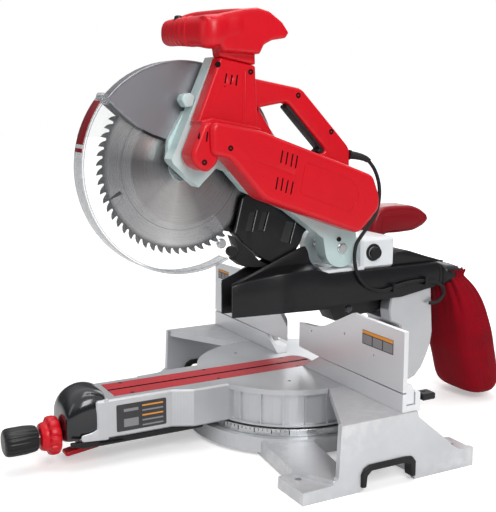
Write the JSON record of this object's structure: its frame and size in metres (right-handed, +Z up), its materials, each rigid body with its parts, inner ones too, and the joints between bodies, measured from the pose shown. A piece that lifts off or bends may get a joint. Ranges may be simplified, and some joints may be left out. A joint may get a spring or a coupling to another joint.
{
  "type": "sliding compound miter saw",
  "caption": "Sliding compound miter saw: a round blade on a hinged, sliding head over a turntable with a long arm, tall split fences and a cloth dust bag.",
  "frame": {"origin": "the turntable's axis on the plane of the bench", "axes": "+X to the user's right along the fence, +Y away from the user, +Z up"},
  "size_m": [0.682, 0.999, 0.755],
  "materials": {
    "silver_paint": "satin silver paint over a die casting",
    "machined_aluminium": "machined and brushed top, silver paint below",
    "fence_aluminium": "pale satin",
    "red_plastic": "gloss",
    "kerf_red": "matt",
    "black_plastic": "matt, lightly grained",
    "black_rubber": "matt",
    "grey_casting": "pale grey-green satin paint over a die casting",
    "steel": "ground",
    "guard_steel": "satin grey paint over a casting",
    "blade_steel": "ground, with a darker toothed band",
    "clear_plastic": "clear",
    "bag_cloth": "woven cloth"
  },
  "bodies": {
    "base": {"base_casting": "silver_paint", "base_grip_right": "black_rubber", "base_grip_left": "black_rubber", "miter_scale": "black_plastic", "turntable_bolt": "steel", "lower_fence_right": "fence_aluminium", "lower_fence_left": "fence_aluminium"},
    "upper_fence_right": {"upper_fence_right": "fence_aluminium"},
    "upper_fence_left": {"upper_fence_left": "fence_aluminium"},
    "fence_lock_right": {"fence_lock_right": "black_plastic"},
    "fence_lock_left": {"fence_lock_left": "black_plastic"},
    "turntable": {"turntable": "machined_aluminium", "kerf_plate_right": "kerf_red", "kerf_plate_left": "kerf_red", "arm_end_shroud": "black_plastic", "arm_bottom_cover": "black_plastic", "miter_lock_rod": "steel"},
    "miter_lock_knob": {"miter_lock_knob": "black_plastic"},
    "fine_adjust_ring": {"fine_adjust_ring": "red_plastic"},
    "detent_lever": {"detent_lever": "red_plastic"},
    "bevel_shaft": {"bevel_shaft": "steel"},
    "bevel_arm": {"bevel_arm": "silver_paint", "linear_bearing_right": "steel", "linear_bearing_left": "steel"},
    "bevel_lock_lever": {"bevel_lock_lever": "black_plastic"},
    "slide_lock_knob": {"slide_lock_knob": "black_plastic"},
    "carriage": {"hinge_base": "grey_casting", "dust_chute": "black_plastic", "rail_right": "steel", "rail_left": "steel", "hinge_pin": "steel", "return_spring": "steel", "rear_cover": "red_plastic", "rubber_collar": "black_rubber", "dust_elbow": "black_plastic", "dust_bag": "bag_cloth", "lead_clip_front": "black_plastic", "lead_clip_rear": "black_plastic", "lead_loop": "black_rubber", "lead_run": "black_rubber", "lead_tail": "black_rubber"},
    "lock_down_pin": {"lock_down_pin": "black_plastic"},
    "head": {"gear_case": "grey_casting", "upper_guard": "guard_steel", "motor_housing": "red_plastic", "column": "red_plastic", "carry_handle": "red_plastic", "carry_grip": "black_rubber", "top_handle": "red_plastic", "deflector": "black_plastic", "dust_flap": "black_rubber", "strain_relief": "black_rubber"},
    "trigger": {"trigger": "black_plastic"},
    "lock_off_button": {"lock_off_button": "black_plastic"},
    "blade": {"blade": "blade_steel", "spindle": "steel", "outer_flange": "steel", "arbor_bolt": "steel"},
    "lower_guard": {"lower_guard": "clear_plastic"},
    "guard_roller": {"guard_roller": "black_rubber"}
  },
  "joints": [
    {"name": "miter", "type": "hinge", "parent": "base", "child": "turntable", "pos_m": [0, 0, 0.08], "axis": [0, 0, 1], "range_deg": [-55, 60]},
    {"name": "bevel_tilt_left", "type": "hinge", "parent": "turntable", "child": "bevel_shaft", "pos_m": [0, 0.2, 0.1145], "axis": [0, -1, 0], "range_deg": [0, 48]},
    {"name": "bevel_tilt_right", "type": "hinge", "parent": "bevel_shaft", "child": "bevel_arm", "pos_m": [0, 0.22, 0.1145], "axis": [0, 1, 0], "range_deg": [0, 48]},
    {"name": "fence_slide_right", "type": "slide", "parent": "base", "child": "upper_fence_right", "axis": [1, 0, 0], "range_m": [0, 0.181]},
    {"name": "fence_slide_left", "type": "slide", "parent": "base", "child": "upper_fence_left", "axis": [-1, 0, 0], "range_m": [0, 0.141]},
    {"name": "fence_lock_turn_right", "type": "hinge", "parent": "base", "child": "fence_lock_right", "pos_m": [0.318, 0.06, 0.134], "axis": [0, 1, 0], "range_deg": [0, 90]},
    {"name": "fence_lock_turn_left", "type": "hinge", "parent": "base", "child": "fence_lock_left", "pos_m": [-0.318, 0.06, 0.134], "axis": [0, -1, 0], "range_deg": [0, 90]},
    {"name": "miter_lock_turn", "type": "hinge", "parent": "turntable", "child": "miter_lock_knob", "pos_m": [0, -0.51, 0.052], "axis": [0, 1, 0], "range_deg": [0, 270]},
    {"name": "fine_adjust_turn", "type": "hinge", "parent": "turntable", "child": "fine_adjust_ring", "pos_m": [0, -0.46, 0.052], "axis": [0, 1, 0], "range_deg": [-90, 90]},
    {"name": "detent_squeeze", "type": "hinge", "parent": "turntable", "child": "detent_lever", "pos_m": [0, -0.386, 0.027], "axis": [-1, 0, 0], "range_deg": [0, 10], "stiffness_Nm_per_rad": 1, "springref_deg": -1.15},
    {"name": "bevel_lock_turn", "type": "hinge", "parent": "bevel_shaft", "child": "bevel_lock_lever", "pos_m": [0, 0.313, 0.1145], "axis": [0, 1, 0], "range_deg": [0, 60]},
    {"name": "carriage_slide", "type": "slide", "parent": "bevel_arm", "child": "carriage", "axis": [0, 1, 0], "range_m": [0, 0.21], "deforming": ["lead_tail"]},
    {"name": "slide_lock_turn", "type": "hinge", "parent": "bevel_arm", "child": "slide_lock_knob", "pos_m": [-0.07, 0.25, 0.212], "axis": [1, 0, 0], "range_deg": [0, 180]},
    {"name": "lock_down_push", "type": "slide", "parent": "carriage", "child": "lock_down_pin", "axis": [1, 0, 0], "range_m": [0, 0.006]},
    {"name": "chop", "type": "hinge", "parent": "carriage", "child": "head", "pos_m": [0, 0.08, 0.335], "axis": [1, 0, 0], "range_deg": [0, 42], "stiffness_Nm_per_rad": 15, "springref_deg": -143.24, "deforming": ["lead_loop", "dust_flap"]},
    {"name": "blade_spin", "type": "hinge", "parent": "head", "child": "blade", "pos_m": [0, -0.217, 0.492], "axis": [1, 0, 0], "continuous": true},
    {"name": "guard_swing", "type": "hinge", "parent": "head", "child": "lower_guard", "pos_m": [0, -0.217, 0.492], "axis": [-1, 0, 0], "range_deg": [0, 122.5]},
    {"name": "roller_spin", "type": "hinge", "parent": "lower_guard", "child": "guard_roller", "pos_m": [0.026, -0.13361, 0.34157], "axis": [1, 0, 0], "continuous": true},
    {"name": "trigger_pull", "type": "slide", "parent": "head", "child": "trigger", "axis": [0, -1, 0], "range_m": [0, 0.005], "stiffness_N_per_m": 300, "springref_m": -0.002},
    {"name": "lock_off_press", "type": "slide", "parent": "head", "child": "lock_off_button", "axis": [0, 0, -1], "range_m": [0, 0.004], "stiffness_N_per_m": 200, "springref_m": -0.001}
  ],
  "couplings": [
    {"joint": "guard_swing", "follows": "chop", "ratio": 2.905},
    {"joint": "fence_slide_right", "follows": "bevel_tilt_right", "m_per_rad": 0.215},
    {"joint": "fence_slide_left", "follows": "bevel_tilt_left", "m_per_rad": 0.167}
  ]
}
